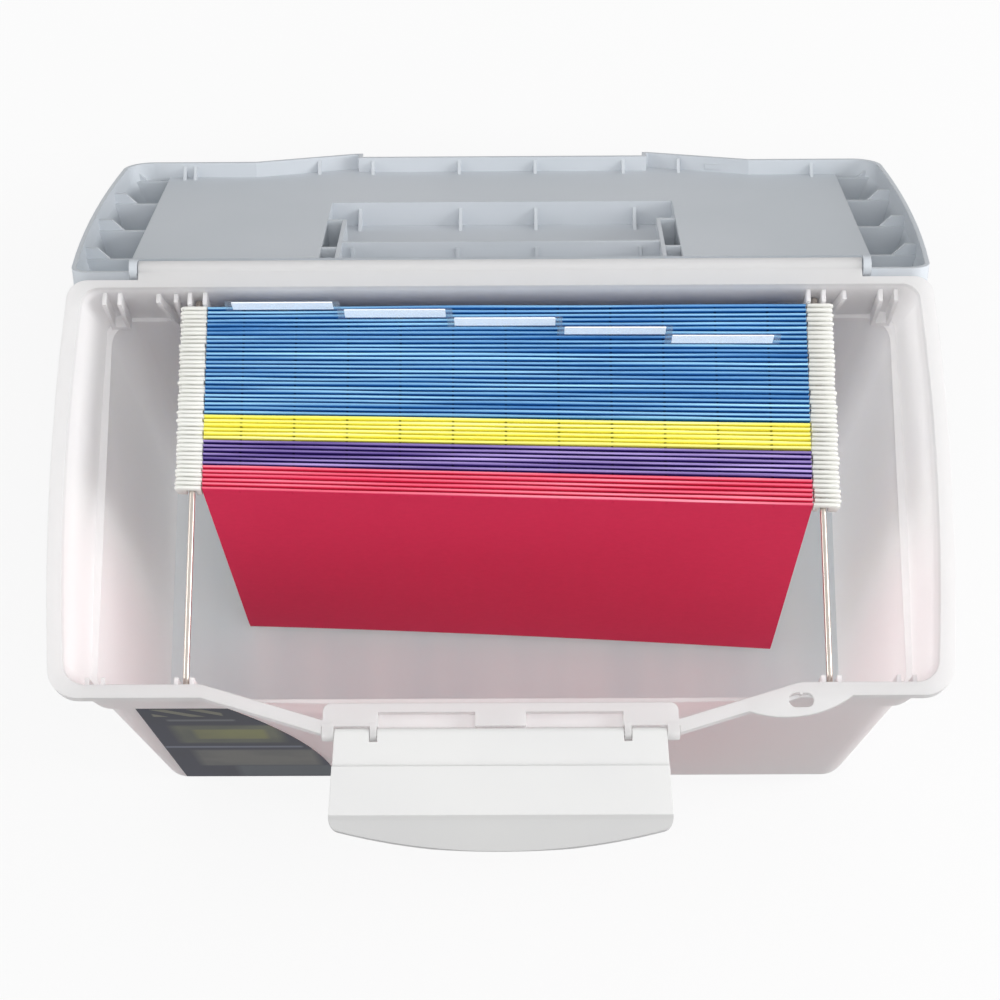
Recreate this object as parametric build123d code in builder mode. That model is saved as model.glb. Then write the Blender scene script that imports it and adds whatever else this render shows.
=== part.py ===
"""Portable file box: a tapered tub with wire rails, a hinged tray lid that swings down behind it,
a fold-flat carry handle, a flip latch, and hanging folders that slide along the rails.

Millimetres. +Z up, origin at the centre of the tub's base. The front faces -Y.
Pose as built: lid hanging open behind the tub, latch flipped open, handle folded flat.
"""
from build123d import *
from math import cos, radians, sin, tan
import os

os.makedirs("parts", exist_ok=True)

# ---- driving dimensions -------------------------------------------------------------------------
wall = 2.5
draft = 1.7                                                 # degrees of slope on the tub's walls
slope = tan(radians(draft))
crease_z = 220.0                                            # where the straight box meets the collar
crease_half, crease_front, crease_back = 201.0, -102.5, 100.5
rim_z = 262.0                                               # top of the rim flange
rim_mid, rim_end = 219.0, 214.5                             # the rim's sides bow out between its ends
rim_front, rim_back = -108.5, 104.0
bulge, bulge_base, bulge_top = 17.5, 142.0, 85.0            # the front edge steps forward for the latch

rail_z, rail_d = 248.0, 3.0
rail_x = (-151.1, 157.6)                                    # letter spacing, 308.7 between centres
legal_x = (-193.7, 193.5)
slot_gap, rib_t = 5.6, 2.0

hinge_y, hinge_z, hinge_r = 111.0, 259.0, 4.0               # lid hinge bead on the tub's back edge
hinge_half = 180.0
lid_open = 230.87                                           # how far the open lid has swung
lid_top = 31.0                                              # border top above its lower edge
lid_gap = 3.3                                               # lid's lower edge above the hinge axis
panel_h = 8.5                                               # underside of the tray floor
tray_back = 59.2                                            # tray's back wall, from the hinge
skin = 2.2
island_half, column_mid = 97.0, 90.7                        # handle island and its end columns
recess_half = 81.3                                          # latch recess in the lid's front

latch_y, latch_z, latch_r = -126.0, 259.0, 3.0
latch_half = 78.3
pin_r, pin_fit = 1.5, 0.07

pivot_l, pivot_h, grip_l = 98.0, 27.8, 150.0                # handle pivot and grip, from the hinge
handle_half, arm_w, grip_w, handle_t = 84.0, 6.0, 12.0, 5.6

folder_w, folder_bottom, folder_top = 298.4, 13.0, 253.0    # hanging folder body
sheet_t, hem_t, hem_h, hem_step = 0.5, 1.9, 11.0, 2.3       # each folder has two folded-over hems
folder_pitch = 4.6
first_y = 93.4                                              # back face of the rearmost folder
fan_yaw, fan_lean = 1.9, 2.4                                # degrees the front folder turns and leans
folder_mid = (rail_x[0] + rail_x[1]) / 2
groups = {"blue": 13, "yellow": 3, "purple": 3, "red": 3}
folder_count = sum(groups.values())


def outline(height, mid, end, front, back, reach, corner_front, corner_back, plane=Plane.XY):
    """Rounded outline, its sides bowed out to mid; the front edge steps forward by reach."""
    middle = (front + back) / 2
    with BuildSketch(plane.offset(height), mode=Mode.PRIVATE) as shape:
        with BuildLine():
            Line((-end, back), (end, back))
            ThreePointArc((end, back), (mid, middle), (end, front))
            ThreePointArc((-end, front), (-mid, middle), (-end, back))
            Polyline((end, front), (bulge_base, front), (bulge_top, front - reach))
            Line((bulge_top, front - reach), (-bulge_top, front - reach))
            Polyline((-bulge_top, front - reach), (-bulge_base, front), (-end, front))
        make_face()
        outer = shape.vertices().filter_by(lambda v: abs(v.X) > bulge_base + 5)
        fillet(outer.filter_by(lambda v: v.Y < middle), corner_front)
        outer = shape.vertices().filter_by(lambda v: abs(v.X) > bulge_base + 5)
        fillet(outer.filter_by(lambda v: v.Y > back - 1), corner_back)
    return shape.sketch


def box_outline(height, inset, corner):
    """Section of the tapered box at one height, this far inside its outer wall."""
    inset += (crease_z - height) * slope
    with BuildSketch(Plane.XY.offset(height), mode=Mode.PRIVATE) as section:
        with Locations((0, (crease_front + crease_back) / 2)):
            RectangleRounded(2 * (crease_half - inset), crease_back - crease_front - 2 * inset, corner)
    return section.sketch


# ---- tub ----------------------------------------------------------------------------------------
with BuildPart() as tub_inside:
    add(box_outline(3, wall, 13))
    add(box_outline(crease_z, wall, 13))
    loft(ruled=True)
    add(outline(crease_z, 202.5, 201, -101.5, 100, 0.6, 11, 9))
    add(outline(rim_z, 212, 207.5, -102, 100, bulge, 11, 9))
    loft(ruled=True)

with BuildPart() as tub:
    # tapered box below the crease, its bottom edge rounded off
    for height, inset in ((0, 3.4), (1.2, 1.2), (3.8, 0), (crease_z, 0)):
        add(box_outline(height, inset, 15))
    loft(ruled=True)
    # flaring collar above it
    add(outline(crease_z - 2, 205, 203.5, -104, 102.5, 0.6, 13, 11))
    add(outline(rim_z - 3, 214.5, 210, -104.5, 102.5, bulge, 13, 11))
    loft(ruled=True)
    # rim flange with its turned-down lip
    extrude(outline(rim_z - 3, rim_mid, rim_end, rim_front, rim_back, bulge, 15, 10), amount=3)
    with BuildSketch(Plane.XY.offset(rim_z - 7)) as lip:
        add(outline(0, rim_mid, rim_end, rim_front, rim_back, bulge, 15, 10))
        add(outline(0, rim_mid - 1.8, rim_end - 1.8, rim_front + 1.8, rim_back - 1.5, bulge, 13.2, 8.2),
            mode=Mode.SUBTRACT)
    extrude(amount=5)
    # padlock tab on the right of the front flange
    with BuildSketch(Plane.XY.offset(rim_z - 3)) as tab:
        with BuildLine():
            ThreePointArc((117, -115.9), (141.7, -118.4), (167, -108.3))
            Polyline((167, -108.3), (167, -103), (117, -107), (117, -115.9))
        make_face()
    extrude(amount=3)
    # hinge band and bead along the back
    with BuildSketch(Plane.XY.offset(rim_z - 3)) as band:
        with Locations((0, (rim_back + hinge_y) / 2 - 1)):
            Rectangle(2 * hinge_half, hinge_y - rim_back + 2)
    extrude(amount=3)
    with BuildSketch(Plane.YZ.offset(-hinge_half)) as bead:
        with Locations((hinge_y, hinge_z)):
            Circle(hinge_r)
    extrude(amount=2 * hinge_half)
    add(tub_inside.part, mode=Mode.SUBTRACT)
    # latch block standing inside the bulge
    with BuildSketch(Plane.XY.offset(rim_z - 13)) as block:
        with Locations((0, -117)):
            Rectangle(168, 11)
        fillet(block.vertices().group_by(Axis.Y)[-1], 4)
    extrude(amount=13)
    # room for the latch barrel in front of the block
    with BuildSketch(Plane.XY.offset(rim_z - 8)) as barrel_room:
        with Locations((0, -127.6)):
            Rectangle(169.4, 10)
    extrude(amount=9, mode=Mode.SUBTRACT)
    # shallow pockets open towards the latch
    with BuildSketch(Plane.XY.offset(rim_z)) as pockets:
        with Locations((-35, -119.3), (35, -119.3)):
            Rectangle(46, 6.8)
    extrude(amount=-5, mode=Mode.SUBTRACT)
    # hinge ears that carry the latch
    for ear_x, ear_t in ((-84.4, 5.6), (-61.7, 3.2), (58.5, 3.2), (78.8, 5.6)):
        with BuildSketch(Plane.YZ.offset(ear_x)) as ear:
            with Locations((latch_y, latch_z)):
                Circle(latch_r + 0.2)
            with BuildLine():
                Line((latch_y, latch_z + 3.2), (-121, latch_z + 3.2))
                Polyline((-121, latch_z + 3.2), (-121, rim_z - 13), (latch_y - 2.6, latch_z - 1.9))
                Line((latch_y - 2.6, latch_z - 1.9), (latch_y, latch_z + 3.2))
            make_face()
        extrude(amount=ear_t)
    for bore_x, bore_t in ((-82.4, 3.8), (-61.9, 3.6), (58.3, 3.6), (78.6, 3.8)):
        with BuildSketch(Plane.YZ.offset(bore_x)) as ear_bore:
            with Locations((latch_y, latch_z)):
                Circle(pin_r + pin_fit)
        extrude(amount=bore_t, mode=Mode.SUBTRACT)
    # bores at the ends of the hinge bead
    for bore_x in (-hinge_half - 0.1, hinge_half - 9.5):
        with BuildSketch(Plane.YZ.offset(bore_x)) as bead_bore:
            with Locations((hinge_y, hinge_z)):
                Circle(2 + pin_fit)
        extrude(amount=9.6, mode=Mode.SUBTRACT)
    # oval padlock hole with its small tooth
    with BuildSketch(Plane.XY.offset(rim_z)) as lock_hole:
        with Locations((142.2, -110.7)):
            SlotOverall(12, 7)
        with Locations((142.2, -107.4)):
            Rectangle(1.2, 1.2, mode=Mode.SUBTRACT)
    extrude(amount=-4, mode=Mode.SUBTRACT)
    # slots for the rail ends: pairs of ribs with a shelf between them
    for slot_x in rail_x + legal_x:
        for wall_y, reach in ((100.3, -6.7), (-101.7, 4.7)):
            for side in (-1, 1):
                rib_x = slot_x + side * (slot_gap + rib_t) / 2
                with BuildSketch(Plane.XY.offset(crease_z)) as rib:
                    with Locations((rib_x, wall_y + reach / 2)):
                        Rectangle(rib_t, abs(reach))
                extrude(amount=35)
            with BuildSketch(Plane.XY.offset(crease_z)) as shelf:
                with Locations((slot_x, wall_y + reach / 2)):
                    Rectangle(slot_gap + 0.2, abs(reach))
            extrude(amount=4)
    # slanted stiffening ribs beside the letter slots
    for rib_x, slant in ((-168, 10), (-162, 0), (169, -10)):
        with BuildSketch(Plane.XZ.offset(-100.4)) as brace:
            with Locations((rib_x, crease_z + 17)):
                Rectangle(rib_t, 33, rotation=slant)
        extrude(amount=5)
tub.part.label = "tub"
export_step(tub.part, "parts/tub.step")



# ---- lid ----------------------------------------------------------------------------------------
# Drawn as it lies closed: y is measured from the hinge axis (negative towards the latch) and z
# upwards from it; lid_plane swings that drawing back to the open position.
swing = radians(lid_open)
lid_plane = Plane(origin=(0, hinge_y, hinge_z), x_dir=(1, 0, 0), z_dir=(0, sin(swing), cos(swing)))


def level(height):
    """Plane parallel to the lid's lower edge, this far above it."""
    return lid_plane.offset(lid_gap + height)


def across(x):
    """Plane square to the hinge axis: its x runs towards the latch, its y up through the lid."""
    return Plane(origin=lid_plane.from_local_coords((x, 0, lid_gap)), x_dir=-lid_plane.y_dir,
                 z_dir=-lid_plane.x_dir)


def behind(along):
    """Plane parallel to the hinge axis, this far from it: its x runs along the hinge, its y up."""
    return Plane(origin=lid_plane.from_local_coords((0, -along, lid_gap)), x_dir=lid_plane.x_dir,
                 z_dir=-lid_plane.y_dir)


def lid_outline(height, inset, back, front, top_inset, corner_front, corner_back):
    """The lid's plan at one height: the rim's outline with a small overhang."""
    gap = inset + top_inset
    return outline(height, 220.2 - gap, 215.7 - gap, -front, -back, 17.3, corner_front, corner_back,
                   lid_plane.offset(lid_gap))


with BuildPart() as tray:
    for height, grow in ((panel_h + skin, 0), (lid_top + 1, 4.2)):
        with BuildSketch(level(height)):
            with BuildLine():
                Polyline((-190, -tray_back), (190, -tray_back), (190, grow - 218), (142, grow - 218), (86, grow - 235))
                Polyline((86, grow - 235), (-86, grow - 235), (-142, grow - 218), (-190, grow - 218))
                Line((-190, grow - 218), (-190, -tray_back))
            make_face()
    loft(ruled=True)
    # island for the handle, with a taller column at each end
    with BuildSketch(level(0)):
        with Locations((0, -107.5)):
            Rectangle(2 * island_half, 115)
    extrude(amount=24.5, mode=Mode.SUBTRACT)
    with BuildSketch(level(0)):
        with Locations((-column_mid, -102), (column_mid, -102)):
            Rectangle(2 * (island_half - column_mid), 56)
    extrude(amount=lid_top + 2, mode=Mode.SUBTRACT)
    # wall behind the latch recess
    with BuildSketch(level(0)):
        with Locations((0, -235)):
            Rectangle(2 * recess_half + 2 * skin, 2 * (235 - 228.2))
    extrude(amount=lid_top + 2, mode=Mode.SUBTRACT)

with BuildPart() as border_hollow:
    add(lid_outline(-1, skin, 5.8 + skin, 220.7 - skin, 0, 13.8, 8))
    add(lid_outline(10, skin, 6.3 + skin, 220.2 - skin, 0.5, 13.8, 8))
    loft(ruled=True)
    add(lid_outline(10, skin, 6.3 + skin, 220.2 - skin, 0.5, 13.8, 8))
    add(lid_outline(lid_top - 2.5, skin, 32.4, 216.5 - skin, 5.1, 13.8, 8))
    loft(ruled=True)
    # the tray's floor, side walls and back wall stay solid
    with BuildSketch(level(panel_h)):
        with Locations((0, skin - tray_back - 100)):
            Rectangle(2 * (190 + skin), 200)
    extrude(amount=40, mode=Mode.SUBTRACT)
    # ribs across the side borders, and lumps where they meet the skirt
    for along in (60, 113, 166, 214):
        with BuildSketch(level(9.5)):
            with Locations((-205, -along), (205, -along)):
                Rectangle(32, 2)
        extrude(amount=30, mode=Mode.SUBTRACT)
        with BuildSketch(behind(along + 1)):
            for side in (-1, 1):
                with BuildLine():
                    Polyline((side * 204, 10), (side * 210.5, 4), (side * 219, 4), (side * 219, 10), close=True)
                make_face()
        extrude(amount=2, mode=Mode.SUBTRACT)
    # ribs across the back border
    with BuildSketch(level(12)):
        with Locations((-153, -32), (-128, -32), (-45, -32), (45, -32), (128, -32), (153, -32)):
            Rectangle(2, 52)
    extrude(amount=30, mode=Mode.SUBTRACT)
    # wall behind the latch recess
    with BuildSketch(level(-2)):
        with Locations((0, -235)):
            Rectangle(2 * recess_half + 2 * skin, 2 * (235 - 228.2))
    extrude(amount=60, mode=Mode.SUBTRACT)

with BuildPart() as island_hollow:
    with BuildSketch(level(panel_h - 1)):
        with Locations((0, -(57 + 162.8) / 2 - 0.1)):
            Rectangle(2 * (island_half - skin), 162.8 - 57)
    extrude(amount=22 - panel_h + 1)
    with BuildSketch(level(20)):
        with Locations((-column_mid, -102), (column_mid, -102)):
            Rectangle(8, 50)
    extrude(amount=lid_top - 2.5 - 20)
    # walls that part the end cells from the middle
    with BuildSketch(level(panel_h)):
        with Locations((-85.5, -92), (85.5, -92)):
            Rectangle(skin, 74)
        for along in (76, 128):
            with Locations((-column_mid, -along), (column_mid, -along)):
                Rectangle(10, 2)
        with Locations((0, -86)):
            Rectangle(172, 2)
    extrude(amount=20, mode=Mode.SUBTRACT)
    # triangular gussets on the web and the far wall
    for x in (-78, -22, 20, 75):
        with BuildSketch(across(x)):
            with BuildLine():
                Polyline((84, 23), (97, 23), (84, 11), close=True)
            make_face()
            with BuildLine():
                Polyline((164, 23), (151, 23), (164, 11), close=True)
            make_face()
        extrude(amount=2, mode=Mode.SUBTRACT)

with BuildPart() as lid:
    add(lid_outline(0, 0, 5.8, 220.7, 0, 16, 10))
    add(lid_outline(10, 0, 6.3, 220.2, 0.5, 16, 10))
    loft(ruled=True)
    add(lid_outline(10, 0, 6.3, 220.2, 0.5, 16, 10))
    add(lid_outline(lid_top, 0, 31.8, 216, 5.7, 16, 10))
    loft(ruled=True)
    # recess for the latch in the middle of the front
    with BuildSketch(level(-1)):
        with Locations((0, -235.5)):
            Rectangle(2 * recess_half, 10)
    extrude(amount=lid_top + 2, mode=Mode.SUBTRACT)
    add(border_hollow.part, mode=Mode.SUBTRACT)
    add(tray.part, mode=Mode.SUBTRACT)
    add(island_hollow.part, mode=Mode.SUBTRACT)
    # ledge that the closed latch snaps over
    with BuildSketch(across(recess_half - 2)):
        with BuildLine():
            Polyline((230, 8.5), (231.5, 8.5), (232.7, 9.8), (232.7, 12.5), (230, 12.5), close=True)
        make_face()
    extrude(amount=2 * recess_half - 4)
    # padlock tab with its hole, matching the one on the tub
    with BuildSketch(level(4)):
        with BuildLine():
            ThreePointArc((117, -226.9), (141.7, -229.4), (167, -219.3))
            Polyline((167, -219.3), (160, -218.7), (142, -218.7), (117, -225.2), (117, -226.9))
        make_face()
    extrude(amount=3)
    with BuildSketch(level(3)):
        with Locations((142.2, -224)):
            SlotOverall(11, 5.6)
    extrude(amount=5, mode=Mode.SUBTRACT)
    # small gussets between the front skirt and the tray floor
    for x, foot in ((-182, 218.8), (-176, 218.8), (-105, 229.4), (-74, 228.6), (-24, 228.6), (20, 228.6),
                    (71, 228.6), (103, 229.4), (179, 218.8)):
        with BuildSketch(across(x)):
            with BuildLine():
                Polyline((foot, 9), (foot - 7, 9), (foot, 1.5), close=True)
            make_face()
        extrude(amount=2)
    # bores for the handle's pins
    for bore_x in (-84.2, 87.2):
        with BuildSketch(across(bore_x)):
            with Locations((pivot_l, pivot_h)):
                Circle(2 + pin_fit)
        extrude(amount=3, mode=Mode.SUBTRACT)
    # hinge ears with pins that turn in the tub's bead
    for ear_x, pin_x in ((184.6, 172.6), (-180.6, -180.7)):
        with BuildSketch(across(ear_x)):
            with Locations((0, -lid_gap)):
                Circle(5)
            with BuildLine():
                Polyline((-4.6, -1.4), (5.9, 9.5), (7.9, 9.5), (7.9, 0.2), (4.7, -1.6), close=True)
            make_face()
        extrude(amount=4)
        with BuildSketch(across(pin_x + 8.1)):
            with Locations((0, -lid_gap)):
                Circle(2)
        extrude(amount=8.1)
lid.part.label = "lid"
export_step(lid.part, "parts/lid.step")



# ---- latch --------------------------------------------------------------------------------------
# A wide flap on a barrel; the step on its inner side catches the lid's ledge.
with BuildPart() as latch:
    with BuildSketch(Plane.YZ.offset(-82)):
        with Locations((latch_y, latch_z)):
            Circle(latch_r)
        with BuildLine():
            Polyline((latch_y, latch_z), (-167.5, latch_z), (-179, 249.4), (-181, 251.7), (-169.5, 261.3))
            Polyline((-169.5, 261.3), (-167.5, rim_z + 1), (-165.5, 265), (-142.2, 265), (-142.2, rim_z))
            Polyline((-142.2, rim_z), (latch_y, rim_z), (latch_y, latch_z))
        make_face()
    extrude(amount=164)
    # plan shape: flared sides and a bowed free edge
    with BuildSketch(Plane.XY.offset(240)) as plan:
        with BuildLine():
            Polyline((latch_half + 2.4, -171), (latch_half, latch_y + 4), (-latch_half, latch_y + 4))
            Line((-latch_half, latch_y + 4), (-latch_half - 2.4, -171))
            ThreePointArc((-latch_half - 2.4, -171), (0, -180.5), (latch_half + 2.4, -171))
        make_face()
        fillet(plan.vertices().group_by(Axis.Y)[0], 5)
    extrude(amount=40, mode=Mode.INTERSECT)
    # slots for the inner ears
    with BuildSketch(Plane.XY.offset(250)):
        with Locations((-60.1, -126), (60.1, -126)):
            Rectangle(3.8, 8)
    extrude(amount=20, mode=Mode.SUBTRACT)
    with BuildSketch(Plane.YZ.offset(-81.9)):
        with Locations((latch_y, latch_z)):
            Circle(pin_r)
    extrude(amount=163.8)
latch.part.label = "latch"
export_step(latch.part, "parts/latch.step")

# ---- handle -------------------------------------------------------------------------------------
with BuildPart() as handle:
    with BuildSketch(level(pivot_h - handle_t / 2)) as bail:
        with Locations((0, -(pivot_l + grip_l + grip_w / 2) / 2)):
            Rectangle(2 * handle_half, grip_l + grip_w / 2 - pivot_l)
        fillet(bail.vertices().group_by(Axis.Y)[0], 12)
        with Locations((0, -(pivot_l + grip_l - grip_w / 2) / 2 + 5)):
            Rectangle(2 * (handle_half - arm_w), grip_l - grip_w / 2 - pivot_l + 10, mode=Mode.SUBTRACT)
        inner = bail.vertices().filter_by(lambda v: abs(abs(v.X) - handle_half + arm_w) < 0.1)
        fillet(inner.group_by(Axis.Y)[0], 7)
    extrude(amount=handle_t)
    chamfer(handle.edges().filter_by(lambda e: e.length > 100), 1.5)
    for side in (-handle_half + arm_w, handle_half):
        with BuildSketch(across(side)):
            with Locations((pivot_l, pivot_h)):
                Circle(handle_t / 2)
        extrude(amount=arm_w)
    for side in (-handle_half + 1, handle_half + 2.4):
        with BuildSketch(across(side)):
            with Locations((pivot_l, pivot_h)):
                Circle(2)
        extrude(amount=3.4)
handle.part.label = "handle"
export_step(handle.part, "parts/handle.step")

# ---- rails --------------------------------------------------------------------------------------
for name, x in (("rail_left", rail_x[0]), ("rail_right", rail_x[1])):
    with BuildPart() as rail:
        with BuildLine(Plane.YZ.offset(x)) as wire:
            Polyline((-99.7, 224), (-99.7, 244), (-98.5, 246.8), (-95.7, rail_z), (94.3, rail_z),
                     (97.1, 246.8), (98.3, 244), (98.3, 224))
        with BuildSketch(Plane(origin=(x, -99.7, 224))):
            Circle(rail_d / 2)
        sweep(transition=Transition.RIGHT)
    rail.part.label = name
    export_step(rail.part, f"parts/{name}.step")

# ---- one hanging folder, drawn about the point where its back hem hangs on the rails -------------
hem_low = folder_top - rail_z - hem_h
fold_z = folder_bottom - rail_z
with BuildPart() as folder:
    with BuildSketch(Plane.YZ.offset(-folder_w / 2)):
        for back in (0, -hem_step):
            with Locations((back - hem_t / 2, hem_low + hem_h / 2)):
                Rectangle(hem_t, hem_h)
                Rectangle(hem_t - 2 * sheet_t, hem_h - 2 * sheet_t, mode=Mode.SUBTRACT)
        with BuildLine():
            Polyline((0, hem_low), (-0.9, fold_z + 1.2), (-2.1, fold_z), (-3.3, fold_z + 1.2), (-4.2, hem_low))
            Polyline((-4.2, hem_low), (-3.7, hem_low), (-2.8, fold_z + 1.4), (-2.1, fold_z + 0.6))
            Polyline((-2.1, fold_z + 0.6), (-1.4, fold_z + 1.4), (-0.5, hem_low), (0, hem_low))
        make_face()
    extrude(amount=folder_w)

with BuildPart() as rod:
    with BuildSketch(Plane.YZ.offset(-149.25)):
        for back in (0, -hem_step):
            with Locations((back - hem_t / 2, 1.2)):
                Rectangle(0.6, 6)
    extrude(amount=298.5)

with BuildPart() as hook:
    for back in (0, -hem_step):
        with BuildSketch(Plane.XZ.offset(-back)) as hook_face:
            with BuildLine():
                Polyline((149.3, 4.8), (149.3, -4.5), (151.9, -4.5), (151.9, 1.7), (156.7, 1.7), (156.7, -4.5))
                Polyline((156.7, -4.5), (160.5, -4.5), (162.3, 4.8), (149.3, 4.8))
            make_face()
            mirror(about=Plane.YZ)
        extrude(amount=hem_t)


def folder_spot(index):
    """Where one folder hangs, counted from the back; the stack turns and leans towards the front."""
    part_way = index / (folder_count - 1)
    return Location((folder_mid, first_y - index * folder_pitch, rail_z),
                    (-fan_lean * (0.2 + 0.8 * part_way), 0, -fan_yaw * part_way))


first = 0
for colour, count in groups.items():
    spots = [folder_spot(index) for index in range(first, first + count)]
    for kind, piece in (("sheets", folder), ("rods", rod), ("hooks", hook)):
        with BuildPart() as group:
            with Locations(*spots):
                add(piece.part)
        group.part.label = f"{colour}_{kind}"
        export_step(group.part, f"parts/{colour}_{kind}.step")
    first += count

# ---- index tabs standing on the rear blue folders -------------------------------------------------
tab_w, tab_h, tab_t = 52.0, 13.0, 1.5
tab_x = (-108.0, -52.0, 2.5, 57.0, 110.0)
with BuildPart() as one_tab:
    with BuildSketch(Plane.XZ.offset(-tab_t / 2)) as tab_face:
        with Locations((0, tab_h / 2)):
            Rectangle(tab_w, tab_h)
        chamfer(tab_face.vertices().group_by(Axis.Y)[-1], 1.2)
    extrude(amount=tab_t)
    with BuildSketch(Plane.XZ.offset(-0.3)):
        with Locations((0, tab_h / 2)):
            Rectangle(tab_w - 2, tab_h - 1.2)
    extrude(amount=0.6, mode=Mode.SUBTRACT)
    # feet that slip between the two hems
    with BuildSketch(Plane.XZ.offset(-0.12)):
        with Locations((-20, -2), (20, -2)):
            Rectangle(5, 5)
    extrude(amount=0.24)

with BuildPart() as one_insert:
    with BuildSketch(Plane.XZ.offset(-0.15)):
        with Locations((0, tab_h / 2)):
            Rectangle(tab_w - 3, tab_h - 1.8)
    extrude(amount=0.3)

tab_spots = []
for index, x in enumerate(tab_x):
    spot = folder_spot(index)
    tab_spots.append(spot * Location((x - folder_mid, -2.1, folder_top - rail_z + 0.2)))
for name, piece in (("tabs", one_tab), ("tab_inserts", one_insert)):
    with BuildPart() as row:
        with Locations(*tab_spots):
            add(piece.part)
    row.part.label = name
    export_step(row.part, f"parts/{name}.step")

# ---- label on the front wall ---------------------------------------------------------------------
wall_plane = Plane(origin=(0, crease_front, crease_z), x_dir=(1, 0, 0), z_dir=(0, -1, -slope))
with BuildPart() as label:
    with BuildSketch(wall_plane):
        with BuildLine():
            Polyline((-138, -4), (-180.5, -4), (-180.5, -214), (-95.5, -214))
            ThreePointArc((-95.5, -214), (-105, -112), (-138, -4))
        make_face()
    extrude(amount=0.3)
label.part.label = "label"
export_step(label.part, "parts/label.step")
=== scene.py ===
# %% [markdown]
# # Portable file box
# A frosted plastic tub carries hanging folders on two wire rails. Its grey lid has swung right over and hangs
# behind the tub, and the latch is flipped open at the front. The solids arrive ready made and at their real
# size, in metres. This lesson gives them their finishes, draws the card folders, their hooks and the index
# tabs again with the small unevenness that solids leave out, and lights the box on a plain studio floor.

# %% Load the box
import math
import random

import bmesh
import bpy
from mathutils import Matrix, Vector


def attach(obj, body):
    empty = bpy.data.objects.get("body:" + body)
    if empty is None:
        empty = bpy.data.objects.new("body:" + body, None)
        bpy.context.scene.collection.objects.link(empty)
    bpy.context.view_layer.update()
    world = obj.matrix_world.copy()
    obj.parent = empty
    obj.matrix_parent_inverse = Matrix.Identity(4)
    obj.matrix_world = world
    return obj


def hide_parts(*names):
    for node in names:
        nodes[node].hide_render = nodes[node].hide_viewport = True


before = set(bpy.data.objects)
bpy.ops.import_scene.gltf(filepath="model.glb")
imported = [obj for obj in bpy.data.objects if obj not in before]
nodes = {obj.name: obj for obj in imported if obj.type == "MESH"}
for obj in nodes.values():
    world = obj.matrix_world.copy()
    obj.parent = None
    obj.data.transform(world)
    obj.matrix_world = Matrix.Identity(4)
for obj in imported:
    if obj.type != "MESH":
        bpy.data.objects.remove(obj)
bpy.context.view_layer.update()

# %% [markdown]
# ## Point the camera
# The picture is taken from high in front, looking steeply down into the tub, through a long lens that keeps
# the walls nearly parallel. A camera could be tracked to a target with a constraint, but three plain facts,
# where it stands, what it looks at and how far it leans, are easier to read and to change. The lean is small:
# the box in the picture is turned a little, so its right side sits higher than its left.

# %% Camera
camera_place = Vector((0.0107, -0.3812, 1.4709))
camera_target = Vector((-0.0002, -0.0070, 0.2480))
camera_lean = math.radians(-1.85)

camera_data = bpy.data.cameras.new("camera")
camera_data.sensor_width = 36.0
camera_data.lens = 94.05
camera = bpy.data.objects.new("camera", camera_data)
bpy.context.scene.collection.objects.link(camera)
bpy.context.scene.camera = camera
facing = (camera_target - camera_place).to_track_quat("-Z", "Y").to_matrix().to_4x4()
camera.matrix_world = Matrix.Translation(camera_place) @ facing @ Matrix.Rotation(camera_lean, 4, "Z")
steepness = math.asin(-(camera_target - camera_place).normalized().z)
print("camera looks down by", round(math.degrees(steepness), 1), "degrees")

# %% [markdown]
# ## Helpers for materials
# Every finish here is built from a few shader nodes, and the same few steps come up again and again, so each
# step is a helper of a few lines. One starts a material with its main shader and one adds a node and fills
# in its settings. The next ones work values out from place to place: sums, blends of two colours, and noise.
# The last ones build the surface from them and put it on the solids.

# %% Material helpers
def start_material(name, roughness, **settings):
    """A new node material with its main shader, and constants set straight on the shader's sockets."""
    material = bpy.data.materials.new(name)
    material.use_nodes = True
    shader = material.node_tree.nodes["Principled BSDF"]
    shader.inputs["Roughness"].default_value = roughness
    for socket, value in settings.items():
        shader.inputs[socket.replace("_", " ")].default_value = value
    return material, shader


def add_node(material, kind, **settings):
    """Adds a shader node, then sets its inputs by name and its options by attribute."""
    node = material.node_tree.nodes.new(kind)
    for key, value in settings.items():
        if hasattr(node, key):
            setattr(node, key, value)
        else:
            node.inputs[key.replace("_", " ")].default_value = value
    return node


def join(material, out_socket, in_socket):
    material.node_tree.links.new(out_socket, in_socket)


def linear(red, green, blue):
    """Turns a colour as seen on screen, 0 to 255, into the linear light that a shader wants."""
    def channel(value):
        value /= 255
        return value / 12.92 if value <= 0.04045 else ((value + 0.055) / 1.055) ** 2.4
    return (channel(red), channel(green), channel(blue), 1.0)


print("a mid grey of 128 is", round(linear(128, 128, 128)[0], 3), "in linear light")

# %% Values that change from place to place
def feed(material, value, in_socket):
    """Gives a socket its value: another node's output, or a plain number or colour."""
    if isinstance(value, bpy.types.NodeSocket):
        join(material, value, in_socket)
    else:
        in_socket.default_value = value


def maths(material, operation, *values):
    node = add_node(material, "ShaderNodeMath", operation=operation)
    for value, in_socket in zip(values, node.inputs):
        feed(material, value, in_socket)
    return node.outputs["Value"]


def blend(material, amount, under, over):
    """Goes from one colour to another as the amount goes from 0 to 1."""
    node = add_node(material, "ShaderNodeMix", data_type="RGBA")
    for name, value in (("Factor", amount), ("A", under), ("B", over)):
        feed(material, value, node.inputs[name])
    return node.outputs["Result"]


def spread(material, value, **limits):
    """Stretches a range of values to fill another, and holds what lies outside it at the ends."""
    node = add_node(material, "ShaderNodeMapRange", **limits)
    join(material, value, node.inputs["Value"])
    return node.outputs["Result"]


def object_place(material):
    """Where a point lies on the object, in metres."""
    return add_node(material, "ShaderNodeTexCoord").outputs["Object"]


def axes(material, place):
    """The x, y and z of a place."""
    node = add_node(material, "ShaderNodeSeparateXYZ")
    join(material, place, node.inputs["Vector"])
    return node.outputs


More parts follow.
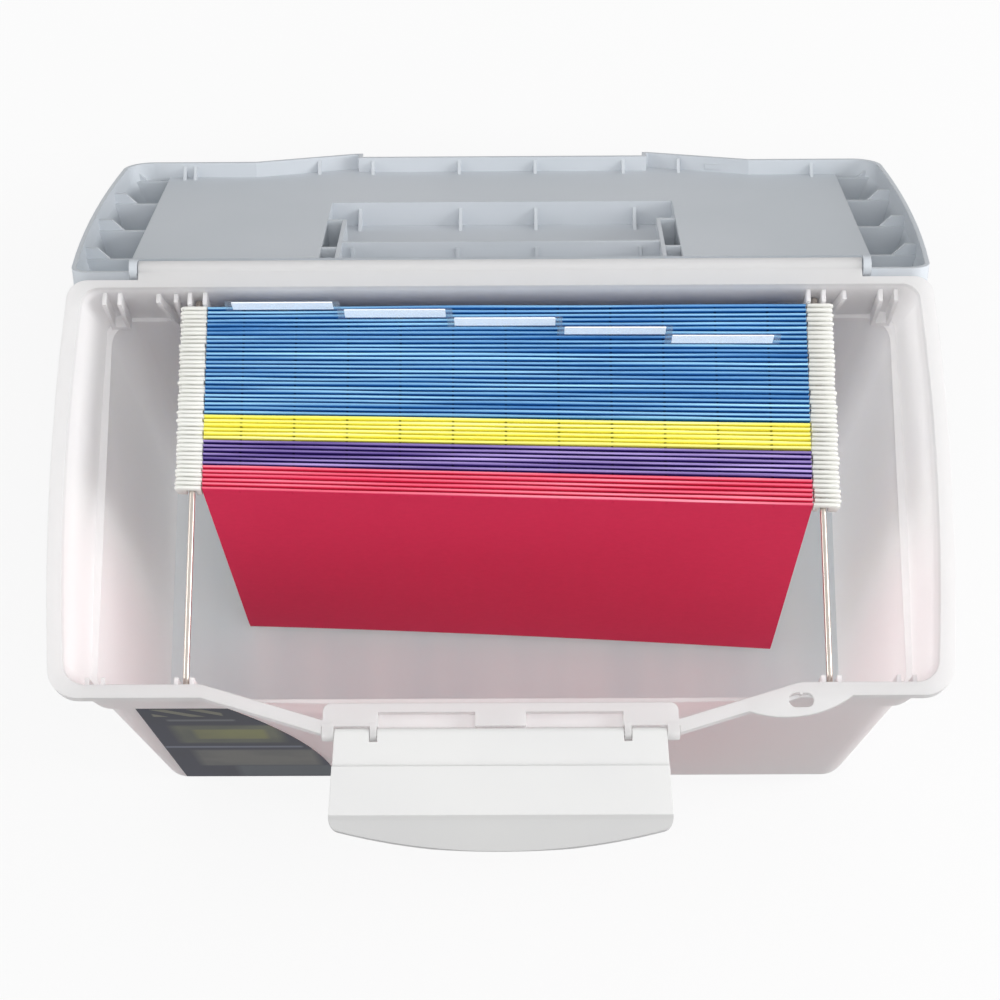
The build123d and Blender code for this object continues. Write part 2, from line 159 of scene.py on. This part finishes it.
def noise(material, place, **settings):
    node = add_node(material, "ShaderNodeTexNoise", **settings)
    join(material, place, node.inputs["Vector"])
    return node.outputs["Fac"]


def streaks(material, place, scale, detail):
    """Noise with a scale of its own along x, y and z, which draws its grains out into streaks."""
    node = add_node(material, "ShaderNodeMapping")
    node.inputs["Scale"].default_value = scale
    join(material, place, node.inputs["Vector"])
    return noise(material, node.outputs["Vector"], Scale=1.0, Detail=detail)


print("noise, sums and blends are ready")

# %% Surfaces built from them
relief_depth = 0.0002               # a fifth of a millimetre


def relief(material, shader, height, strength, under=None):
    """Raises a fine pattern from the surface, or from another relief under it."""
    bump = add_node(material, "ShaderNodeBump", Strength=strength, Distance=relief_depth)
    join(material, height, bump.inputs["Height"])
    if under:
        join(material, under, bump.inputs["Normal"])
    join(material, bump.outputs["Normal"], shader.inputs["Normal"])


def surface(material, under, over, amount):
    """Lays one shader over another by an amount from 0 to 1, and shows the two as the surface."""
    node = add_node(material, "ShaderNodeMixShader")
    feed(material, amount, node.inputs["Fac"])
    join(material, under, node.inputs[1])
    join(material, over, node.inputs[2])
    join(material, node.outputs["Shader"], material.node_tree.nodes["Material Output"].inputs["Surface"])


def dress(finish, *names):
    """Gives a finish to solids that keep their own shape."""
    for name in names:
        for slot in nodes[name].material_slots:
            slot.material = finish


print("fine patterns stand up to", round(relief_depth * 1000, 1), "mm high")

# %% [markdown]
# ## Moulded plastic
# The tub, lid, latch and handle are injection-moulded polypropylene. Up close such a skin is never perfectly
# even: it has a fine spark-eroded grain, faint flow marks where the plastic ran into the mould, and slightly
# softer edges where it left the mould. Large soft noise gives the flow marks, fine noise gives the grain as
# bump, and a bevelled normal rounds the edges. Frosted plastic also passes light: some of it falls on a
# translucent shader. The tub's floor and rim are painted in greyer tones than its walls. This is painted
# shade, which holds down how bright they come out: everything outside the heights of the walls takes it. The
# floor also has faint lighter bands that run from front to back.

# %% Plastic finish
wall_foot, wall_top = 0.004, 0.258  # the tub's thin walls lie between these heights
rim_blend = 0.002                   # over this height a thin wall turns into floor or rim
flow_range = (0.35, 0.62)           # noise values between which one tone of the skin turns into the other
band_scale = (34.0, 3.0, 1.0)       # the bands in the floor change quickly across it and slowly along it
band_range, band_strength = (0.38, 0.62), 0.42


def painted_shade_by_height(material, place, thin, floor_tone, rim_shade_tone):
    """The tub's colour by height: its walls in their own tone, and a floor and rim in tones of painted shade.
    """
    height = axes(material, place)["Z"]
    middle, reach = (wall_foot + wall_top) / 2, (wall_top - wall_foot) / 2
    away = maths(material, "ABSOLUTE", maths(material, "SUBTRACT", height, middle))
    shade_cover = spread(material, away, From_Min=reach, From_Max=reach + rim_blend)
    upper = maths(material, "GREATER_THAN", height, middle)
    return blend(material, shade_cover, thin, blend(material, upper, floor_tone, rim_shade_tone))


def plastic(name, colour, flow_colour, roughness, grain, see_through, floor_and_rim_shade_tones=None):
    material, shader = start_material(name, roughness, IOR=1.49)
    place = object_place(material)
    flow = add_node(material, "ShaderNodeValToRGB")
    join(material, noise(material, place, Scale=9.0, Detail=3.0, Roughness=0.45), flow.inputs["Fac"])
    start, end = flow.color_ramp.elements
    start.position, end.position = flow_range
    start.color, end.color = flow_colour, colour
    skin = flow.outputs["Color"]
    # the floor and rim take tones of painted shade, and the floor's tone is broken by lighter bands
    if floor_and_rim_shade_tones:
        floor_tone, rim_shade_tone = floor_and_rim_shade_tones
        low, high = band_range
        bands = spread(material, streaks(material, place, band_scale, 1.0),
                       From_Min=low, From_Max=high, To_Max=band_strength)
        banded_floor_shade = blend(material, bands, floor_tone, colour)
        skin = painted_shade_by_height(material, place, skin, banded_floor_shade, rim_shade_tone)
    join(material, skin, shader.inputs["Base Color"])
    soft_edge = add_node(material, "ShaderNodeBevel", Radius=0.0007)
    relief(material, shader, noise(material, place, Scale=2400.0, Detail=2.0), grain,
           under=soft_edge.outputs["Normal"])
    if see_through:
        through = add_node(material, "ShaderNodeBsdfTranslucent", Color=colour)
        surface(material, shader.outputs["BSDF"], through.outputs["BSDF"], see_through)
    return material


# the last two tones are painted shade for the tub's floor and rim
tub_plastic = plastic("frosted_tub_plastic", linear(250, 249, 249), linear(246, 245, 246), 0.42, 0.25, 0.48,
                      floor_and_rim_shade_tones=(linear(206, 222, 228), linear(228, 228, 228)))
lid_plastic = plastic("grey_lid_plastic", linear(204, 209, 215), linear(198, 204, 210), 0.45, 0.30, 0.08)
latch_plastic = plastic("white_latch_plastic", linear(228, 228, 227), linear(223, 223, 223), 0.40, 0.22, 0.15)
handle_plastic = plastic("grey_handle_plastic", linear(188, 194, 200), linear(180, 187, 193), 0.42, 0.30, 0.0)
hook_plastic = plastic("ivory_hook_plastic", linear(246, 246, 242), linear(238, 238, 233), 0.40, 0.20, 0.15)
dress(tub_plastic, "tub")
dress(lid_plastic, "lid")
dress(latch_plastic, "latch")
dress(handle_plastic, "handle")
print("plastic on", [n for n in nodes if nodes[n].material_slots[0].material.name.endswith("plastic")])

# %% [markdown]
# ## Coloured card
# Hanging folders are made of thick dyed card. Its colour drifts a little from fibre to fibre. Along the top
# edge of every hem, where the card is folded over, the colour is much paler. Small slots for the tabs are
# cut through the hems at even steps. The slots could be real holes, but they are a millimetre wide and look
# the same painted, so both the pale edges and the slots are painted by height and breadth. A slot's dark is
# painted shade, the darkness seen through the hole. The same recipe serves all four colours, so it is one
# function.

# %% Card finish
hem_top = 0.253                     # where the folded edges lie
pale_edge_depth = 0.0008                  # how far down from there the card is paler
slot_step = 0.0261                  # from one tab slot to the next
slot_start = 0.0028                 # the middle of the slot nearest the box's own middle
slot_drop = 0.0031                  # from the folded edge down to a slot's middle
slot_size = (0.0012, 0.0036)        # breadth and height


def tab_slots(material, x, z):
    """One inside the slots and zero between them: a narrow stroke at every step along the hem."""
    stride = maths(material, "PINGPONG", maths(material, "SUBTRACT", x, slot_start), slot_step / 2)
    stroke = maths(material, "LESS_THAN", stride, slot_size[0] / 2)
    level = maths(material, "COMPARE", z, hem_top - slot_drop, slot_size[1] / 2)
    return maths(material, "MULTIPLY", stroke, level)


def card(name, colour, pale, deep, slot_shade_tone):
    material, shader = start_material(name, 0.75, Specular_IOR_Level=0.18)
    place = object_place(material)
    x, _, z = axes(material, place)
    fibre = noise(material, place, Scale=260.0, Detail=5.0, Roughness=0.65)
    # a slot is painted shade: the card's deep tone darkened, as the darkness seen through the hole
    slot_shade = tuple(channel * slot_shade_tone for channel in deep[:3]) + (1.0,)
    slotted = blend(material, tab_slots(material, x, z), blend(material, fibre, deep, colour), slot_shade)
    # long streaks, so that some hems are pale along their edge and others nearly keep their colour
    streak = streaks(material, place, (6.0, 190.0, 40.0), 2.0)
    uneven = spread(material, streak, From_Min=0.30, From_Max=0.70, To_Min=0.10)
    fold = spread(material, z, From_Min=hem_top - pale_edge_depth, From_Max=hem_top)
    paled_edge = blend(material, maths(material, "MULTIPLY", fold, uneven), slotted, pale)
    join(material, paled_edge, shader.inputs["Base Color"])
    relief(material, shader, fibre, 0.25)
    return material


cards = {
    "blue": card("blue_card", linear(28, 112, 188), linear(172, 228, 255), linear(14, 88, 164), 0.35),
    "yellow": card("yellow_card", linear(255, 250, 100), linear(255, 254, 176), linear(252, 240, 86), 0.40),
    "purple": card("purple_card", linear(66, 40, 134), linear(204, 182, 244), linear(46, 24, 106), 0.35),
    "red": card("red_card", linear(234, 50, 94), linear(255, 158, 178), linear(222, 42, 84), 1.0),
}
print("card in", ", ".join(cards))

# %% [markdown]
# ## Steel wire and strip
# The rails are zinc-plated wire and the rods inside the hems are plain strip. Drawn wire carries fine marks
# along its length, so the noise behind its tone and its roughness is drawn out along the rails.

# %% Steel finish
def steel(name, colour, roughness):
    material, shader = start_material(name, roughness, Metallic=1.0)
    marks = streaks(material, object_place(material), (900.0, 25.0, 900.0), 3.0)
    dull = spread(material, marks, To_Min=roughness - 0.08, To_Max=roughness + 0.12)
    join(material, dull, shader.inputs["Roughness"])
    join(material, blend(material, marks, colour, linear(214, 205, 196)), shader.inputs["Base Color"])
    return material


dress(steel("zinc_wire", linear(196, 188, 180), 0.28), "rail_left", "rail_right")
dress(steel("rod_strip", linear(180, 180, 180), 0.35), *(f"{colour}_rods" for colour in cards))

# %% [markdown]
# ## Folded card, one folder after another
# The solids have crisp square hems. Real card is one long strip: it starts inside the folder, goes up and
# over the rod in a soft round fold, runs down to the bottom crease and climbs to the second hem. Here each
# folder is that strip, given a thickness, and drawn at stations across its width so that folds and panels
# can wander by a few tenths of a millimetre. The frontmost folder has nothing before it, so its front panel
# wanders by half a millimetre and its lower right corner stands five millimetres forward.

# %% Where each folder hangs
rng = random.Random(11)
folder_counts = {"blue": 13, "yellow": 3, "purple": 3, "red": 3}
folder_total = sum(folder_counts.values())
millimetre = 0.001
folders_x, first_folder_y, rail_height = 3.25, 93.4, 248.0
folder_pitch = 4.6
front_lean, front_turn = -2.4, -1.9     # of the frontmost folder, in degrees
rear_lean_share = 0.2               # the rearmost folder leans by this share of that


def shift(x, y, z):
    """A move, given in millimetres."""
    return Matrix.Translation(Vector((x, y, z)) * millimetre)


def folder_frame(index):
    """The place of one folder, counted from the back: the stack turns and leans towards the front."""
    part_way = index / (folder_total - 1)
    lean = math.radians(front_lean * (rear_lean_share + (1 - rear_lean_share) * part_way))
    turn = math.radians(front_turn * part_way)
    hung = shift(folders_x, first_folder_y - index * folder_pitch, rail_height)
    return hung @ Matrix.Rotation(lean, 4, "X") @ Matrix.Rotation(turn, 4, "Z")


print("the first folder hangs at", [round(v, 4) for v in folder_frame(0).translation])

# %% The strip of card
card_thickness = 0.34
half_width = 149.2
fold_middle = -2.1                  # the two panels mirror each other about this line

# centre line of the back panel, from its flap to just above the bottom crease: (across, up, looseness)
back_panel = [(-1.43, -5.7, 0.0), (-1.43, 1.0, 0.0), (-1.43, 4.2, 0.3), (-1.30, 4.65, 1.0),
              (-0.93, 4.83, 1.0), (-0.56, 4.65, 1.0), (-0.43, 4.2, 0.3), (-0.43, 1.0, 0.0),
              (-0.43, -5.7, 0.0), (-0.62, -60.0, 0.4), (-0.85, -120.0, 0.6), (-1.10, -180.0, 0.4),
              (-1.35, -228.0, 0.0), (-1.75, -233.8, 0.0)]
front_panel = [(2 * fold_middle - across, up, loose) for across, up, loose in reversed(back_panel)]
strip = back_panel + [(fold_middle, -234.5, 0.0)] + front_panel
print("one strip is drawn through", len(strip), "points")

# %% How the card wanders
hem_play, panel_play = 0.26, 0.14
front_play = 0.9                    # of the frontmost panel
front_swing = 5.0                   # how far the frontmost folder's lower right corner stands forward
panel_drop = 234.0                  # that corner's depth, at which the swing is whole
fold_lift = 0.12                    # how far a folded edge rises and sinks
fold_foot = 4                       # the fold begins this far up
end_hold = 14                       # the play dies away over a fourteenth of the width at each end
full_turn = 6.28                    # in radians, near enough


def waver():
    """A smooth random wave across the folder, between -1 and 1: four sines of uneven pace and size."""
    waves = [(rng.uniform(0.6, 3.2), rng.uniform(0, full_turn), rng.uniform(0.3, 1.0)) for _ in range(4)]
    total = sum(size for _, _, size in waves)
    return lambda t: sum(size * math.sin(pace * full_turn * t + start)
                         for pace, start, size in waves) / total


def centre_line(t, sway, lift, frontmost):
    """Where the strip's middle runs at one station, which is at t of the way along the card."""
    points = []
    for number, (across, up, loose) in enumerate(strip):
        part = "back" if number < len(back_panel) else "front"
        free = loose * min(1.0, end_hold * t, end_hold * (1 - t))
        play = hem_play if up > 0 else panel_play
        if frontmost and up < 0:
            across -= front_swing * t * t * -up / panel_drop
            if part == "front":
                play = front_play
        rise = fold_lift * lift[part](t) * free if up > fold_foot else 0.0
        points.append(Vector(((2 * t - 1) * half_width, across + play * sway[part](t) * free, up + rise)))
    return points


most_loose = max(loose for _, up, loose in strip if up < 0)
print("the frontmost panel wanders by up to", round(front_play * most_loose, 2), "mm")

# %% Give the strip its thickness
stations = 33                       # across the width of a folder


def both_faces(points):
    """Goes along one face of the card and back along the other, around its middle line."""
    around = []
    for side in (1, -1):
        for number in range(len(points))[::side]:
            before = points[max(number - 1, 0)]
            after = points[min(number + 1, len(points) - 1)]
            way = (after - before).normalized()
            around.append(points[number] + Vector((0, -way.z, way.y)) * (side * card_thickness / 2))
    return around


def folder_mesh(mesh, index):
    sway, lift = {}, {}
    for part in ("back", "front"):
        sway[part], lift[part] = waver(), waver()
    place = folder_frame(index)
    rings = []
    for station in range(stations):
        points = centre_line(station / (stations - 1), sway, lift, index == folder_total - 1)
        rings.append([mesh.verts.new(place @ (point * millimetre)) for point in both_faces(points)])
    last = len(rings[0]) - 1
    for left, right in zip(rings, rings[1:]):
        for a in range(last + 1):
            b = (a + 1) % (last + 1)
            mesh.faces.new((left[a], left[b], right[b], right[a]))
    for ring, order in ((rings[0], 1), (rings[-1], -1)):
        for a in range(len(strip) - 1):
            corners = (ring[a], ring[last - a], ring[last - 1 - a], ring[a + 1])
            mesh.faces.new(corners[::order])


print("a folder is drawn at", stations, "stations")

# %% Fold all four colours
crease = math.radians(50)           # faces that meet more sharply than this keep a hard edge


def finish_piece(mesh, name, finish, node, body):
    """Turns a mesh into an object that stands for one node of the box and rides on its body."""
    bmesh.ops.recalc_face_normals(mesh, faces=mesh.faces)
    for face in mesh.faces:
        face.smooth = True
    data = bpy.data.meshes.new(name)
    mesh.to_mesh(data)
    mesh.free()
    data.set_sharp_from_angle(angle=crease)
    data.materials.append(finish)
    piece = bpy.data.objects.new(name, data)
    bpy.context.scene.collection.objects.link(piece)
    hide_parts(node)
    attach(piece, body)
    print(name, "made of", len(data.polygons), "faces")


def folders_by_colour():
    """Each colour with the numbers of its folders, counted from the back."""
    first = 0
    for colour, count in folder_counts.items():
        yield colour, range(first, first + count)
        first += count


for colour, numbers in folders_by_colour():
    mesh = bmesh.new()
    for index in numbers:
        folder_mesh(mesh, index)
    finish_piece(mesh, f"{colour}_folded_card", cards[colour], f"{colour}_sheets",
                 f"{colour}_folders")

# %% [markdown]
# ## Hooks
# Every hem ends in an ivory plastic hook with a notch that sits over the wire. A hook is a plate cut to a
# profile, so its edge is drawn once and given a thickness. No two hang quite alike: each is shifted along its
# rod by less than a millimetre and tipped by a hair, and all its edges are softened.

# %% Hooks on every hem
hook_edge = [(149.3, 4.7), (149.3, -4.4), (151.9, -4.4), (151.9, 1.8), (156.7, 1.8), (156.7, -4.4),
             (160.3, -4.4), (161.6, -3.2), (162.4, 3.2), (160.8, 4.7)]
hook_thickness = 1.5
hook_softening = 0.22
hem_middle = -0.93                  # the rod of the back hem; the front one mirrors it


def plate(mesh, place, edge, across, thickness):
    """An upright plate in millimetres: its edge as (along, up) points, set down at the given place."""
    rings = [[mesh.verts.new(place @ (Vector((x, y, z)) * millimetre)) for x, z in edge]
             for y in (across - thickness / 2, across + thickness / 2)]
    mesh.faces.new(rings[0])
    mesh.faces.new(rings[1][::-1])
    for a in range(len(edge)):
        b = (a + 1) % len(edge)
        mesh.faces.new((rings[0][b], rings[0][a], rings[1][a], rings[1][b]))


def hook(mesh, index, across, facing):
    """One hook: facing 0 is the right-hand end of the hem, and half a turn the left-hand one."""
    slip = rng.uniform(-0.05, 0.8)
    aside = rng.uniform(-0.16, 0.16)    # drawn for both ends, but only the right-hand hook takes it
    tip = math.radians(rng.uniform(-0.10, 0.03))
    thickness = hook_thickness + rng.uniform(-0.25, 0.2)
    set_down = shift(-slip, across, 0) if facing else shift(slip, across + aside, 0)
    place = folder_frame(index) @ set_down @ Matrix.Rotation(facing, 4, "Z") @ Matrix.Rotation(tip, 4, "Y")
    plate(mesh, place, hook_edge, 0.0, thickness)


for colour, numbers in folders_by_colour():
    mesh = bmesh.new()
    for index in numbers:
        for across in (hem_middle, 2 * fold_middle - hem_middle):
            for facing in (0, math.pi):
                hook(mesh, index, across, facing)
    bmesh.ops.bevel(mesh, geom=mesh.edges[:], offset=hook_softening * millimetre, segments=1, affect="EDGES")
    finish_piece(mesh, f"{colour}_folder_hooks", hook_plastic, f"{colour}_hooks",
                 f"{colour}_folders")

# %% [markdown]
# ## Index tabs
# Each tab is a folded strip of clear plastic with a paper insert, pushed into the slots between two hems.
# They lean a little towards the front, as tabs do once they have been used. Sheet this thin hardly bends
# light, so its finish is mostly a plain see-through shader with some white haze and a little gloss. The
# paper insert glows a little by itself: painted light that makes up for the little lamp light falling on
# its upright face.

# %% Clear plastic and paper
clear_plastic, shader = start_material("clear_tab_plastic", 0.18, IOR=1.45)
haze = noise(clear_plastic, object_place(clear_plastic), Scale=60.0, Detail=2.0)
milky = blend(clear_plastic, haze, linear(206, 222, 234), linear(226, 236, 244))
join(clear_plastic, milky, shader.inputs["Base Color"])
glassy = add_node(clear_plastic, "ShaderNodeBsdfTransparent")
surface(clear_plastic, glassy.outputs["BSDF"], shader.outputs["BSDF"],
        spread(clear_plastic, haze, To_Min=0.08, To_Max=0.14))

# the paper's emission is painted light, which makes up for the little lamp light on its upright face
self_lit_paper, shader = start_material("self_lit_paper", 0.7, Emission_Strength=0.36,
                                     Emission_Color=linear(226, 238, 255))
pulp = noise(self_lit_paper, object_place(self_lit_paper), Scale=500.0, Detail=4.0)
off_white = blend(self_lit_paper, pulp, linear(244, 248, 249), linear(252, 253, 253))
join(self_lit_paper, off_white, shader.inputs["Base Color"])
print("clear plastic and paper are ready")

# %% Leaning tabs
tab_middles = (-108.0, -52.0, 2.5, 57.0, 110.0)
tab_width, foot_width, paper_width = 57.0, 5.0, 50.0
tab_lean = math.radians(3)
tab_level = 5.2                     # just above the hems
tab_gap = 0.42                      # from the paper's middle to each clear sheet's middle


def rounded_plate(mesh, place, width, low, high, across, thickness, corner):
    """A plate with rounded upper corners."""
    edge = [(-width / 2, low), (width / 2, low)]
    for middle, start in ((width / 2 - corner, 0), (-width / 2 + corner, 90)):
        for step in range(4):
            angle = math.radians(start + 30 * step)
            edge.append((middle + corner * math.cos(angle), high - corner + corner * math.sin(angle)))
    plate(mesh, place, edge, across, thickness)


shells, papers = bmesh.new(), bmesh.new()
for index, middle in enumerate(tab_middles):
    base = folder_frame(index) @ shift(middle - folders_x, fold_middle, tab_level)
    leaning = base @ Matrix.Rotation(tab_lean + math.radians(rng.uniform(-1.5, 1.5)), 4, "X")
    for across in (-tab_gap, tab_gap):
        rounded_plate(shells, leaning, tab_width, low=0.0, high=12.2, across=across, thickness=0.22,
                      corner=1.6)
    for _ in range(2):              # both tongues lie in one place, at the tab's middle
        rounded_plate(shells, base, foot_width, low=0.4, high=-4.5, across=0.0, thickness=0.24, corner=0.1)
    rounded_plate(papers, leaning, paper_width, low=0.6, high=11.6, across=0.0, thickness=0.4, corner=0.6)
finish_piece(shells, "clear_tabs", clear_plastic, "tabs", "blue_folders")
finish_piece(papers, "paper_inserts", self_lit_paper, "tab_inserts", "blue_folders")

# %% [markdown]
# ## The label
# A dark printed sticker covers the left of the front wall and ends in a sweeping curve. The print is a plain
# generic one: a night-blue ground, a row of slanted dashes along the top, broad bars in olive, grey and slate
# below it, and thin pale rules between them. A sticker could be printed from a picture, but bars this plain
# are placed by the label's own breadth and height, so no picture is needed.

# %% Label print
dash_edge = 0.62                    # the slanted wave is printed where it stands above this

label_print, shader = start_material("label_print", 0.55, Specular_IOR_Level=0.2)
place = object_place(label_print)
label_x, _, label_z = axes(label_print, place)
ink = noise(label_print, place, Scale=22.0, Detail=4.0)
cloud = spread(label_print, ink, From_Min=0.35, From_Max=0.60, To_Min=0.55)
slanted = add_node(label_print, "ShaderNodeTexWave", bands_direction="DIAGONAL", Scale=34.0)
join(label_print, place, slanted.inputs["Vector"])
dashes = maths(label_print, "GREATER_THAN", slanted.outputs["Fac"], dash_edge)


def window(value, low, high, soft):
    """One between low and high, fading to zero over a soft edge."""
    rise = spread(label_print, value, From_Min=low - soft, From_Max=low)
    fall = spread(label_print, value, From_Min=high + soft, From_Max=high)
    return maths(label_print, "MULTIPLY", rise, fall)


def motif(under, x_range, z_range, soft, tone, mask=None):
    """Prints one motif over what is there already."""
    cover = maths(label_print, "MULTIPLY", window(label_x, *x_range, soft), window(label_z, *z_range, soft))
    if mask:
        cover = maths(label_print, "MULTIPLY", cover, mask)
    return blend(label_print, cover, under, tone)


printed = blend(label_print, ink, linear(22, 25, 36), linear(40, 44, 68))
for layer in (
    ((-0.174, -0.140), (0.190, 0.208), 0.001, linear(122, 120, 106), dashes),
    ((-0.168, -0.136), (0.178, 0.181), 0.002, linear(104, 106, 112)),
    ((-0.166, -0.118), (0.118, 0.162), 0.006, linear(104, 106, 90), cloud),
    ((-0.158, -0.124), (0.128, 0.152), 0.003, linear(132, 132, 86), cloud),
    ((-0.179, -0.108), (0.101, 0.104), 0.002, linear(112, 116, 132)),
    ((-0.164, -0.104), (0.046, 0.090), 0.005, linear(106, 105, 102), cloud),
    ((-0.146, -0.096), (0.012, 0.040), 0.005, linear(74, 80, 88)),
):
    printed = motif(printed, *layer)
join(label_print, printed, shader.inputs["Base Color"])
dress(label_print, "label")

# %% [markdown]
# ## Floor and light
# The box stands on a plain pale floor. One broad lamp hangs overhead and one stands low on each side, the
# right one stronger, and the sky is dim at the horizon and bright above, as under a large soft ceiling. For
# the camera the floor glows almost white by itself and the sky is nowhere dim, so the background is clean
# without brighter lamps, and the little of the floor's true surface that is left keeps the box's shadow. A
# world is built from nodes as a material is, so the same helpers serve for the sky.

# %% Floor
floor_size = 12.0
floor_drop = 0.0004                 # a hair below the box, so that the two don't share a plane
floor_glow = 0.86                   # share of the floor's look that is its own white glow
floor_tone = (0.18, 0.62)           # of the surface under that, for the box and for the camera

bpy.ops.mesh.primitive_grid_add(x_subdivisions=8, y_subdivisions=8, size=floor_size,
                                location=(0, 0, -floor_drop))
floor = bpy.context.object
floor.name = "studio_floor"
floor_finish, shader = start_material("studio_floor", 0.9)
glow = add_node(floor_finish, "ShaderNodeEmission", Strength=1.0)
rays = add_node(floor_finish, "ShaderNodeLightPath").outputs
pale = spread(floor_finish, rays["Is Camera Ray"], To_Min=floor_tone[0], To_Max=floor_tone[1])
join(floor_finish, pale, shader.inputs["Base Color"])
seen = rays["Is Camera Ray"]
for way in ("Is Glossy Ray", "Is Transmission Ray"):
    seen = maths(floor_finish, "MAXIMUM", seen, rays[way])
surface(floor_finish, shader.outputs["BSDF"], glow.outputs["Emission"],
        maths(floor_finish, "MULTIPLY", seen, floor_glow))
floor.data.materials.append(floor_finish)
print("floor is", floor.dimensions.x, "m across")

# %% Sky and lamps
sky_light = (0.10, 0.98)            # at the horizon and straight above
sky_seen = 0.965                    # the least that the camera sees

world = bpy.data.worlds.new("studio")
bpy.context.scene.world = world
world.use_nodes = True
sky = world.node_tree.nodes["Background"]
sky.inputs["Color"].default_value = (1.0, 1.0, 1.0, 1.0)
upward = axes(world, add_node(world, "ShaderNodeTexCoord").outputs["Generated"])["Z"]
dome = spread(world, upward, To_Min=sky_light[0], To_Max=sky_light[1])
shown = maths(world, "MULTIPLY", add_node(world, "ShaderNodeLightPath").outputs["Is Camera Ray"], sky_seen)
join(world, maths(world, "MAXIMUM", dome, shown), sky.inputs["Strength"])


def lamp(name, place, target, size, power):
    data = bpy.data.lights.new(name, "AREA")
    data.shape = "DISK"
    data.size = size
    data.energy = power
    thing = bpy.data.objects.new(name, data)
    bpy.context.scene.collection.objects.link(thing)
    thing.location = place
    thing.rotation_euler = (Vector(target) - Vector(place)).to_track_quat("-Z", "Y").to_euler()


lamp("overhead", place=(0.25, -0.8, 2.5), target=(0, 0, 0.1), size=1.3, power=13)
lamp("right_side", place=(2.2, 0.0, 0.9), target=(0, 0, 0.15), size=1.4, power=51)
lamp("left_side", place=(-2.2, 0.0, 0.9), target=(0, 0, 0.15), size=1.4, power=23)

# %% [markdown]
# ## Finish
# The last cell sets how colours are shown and hands the scene over.

# %% Finish
bpy.context.scene.view_settings.view_transform = "Standard"
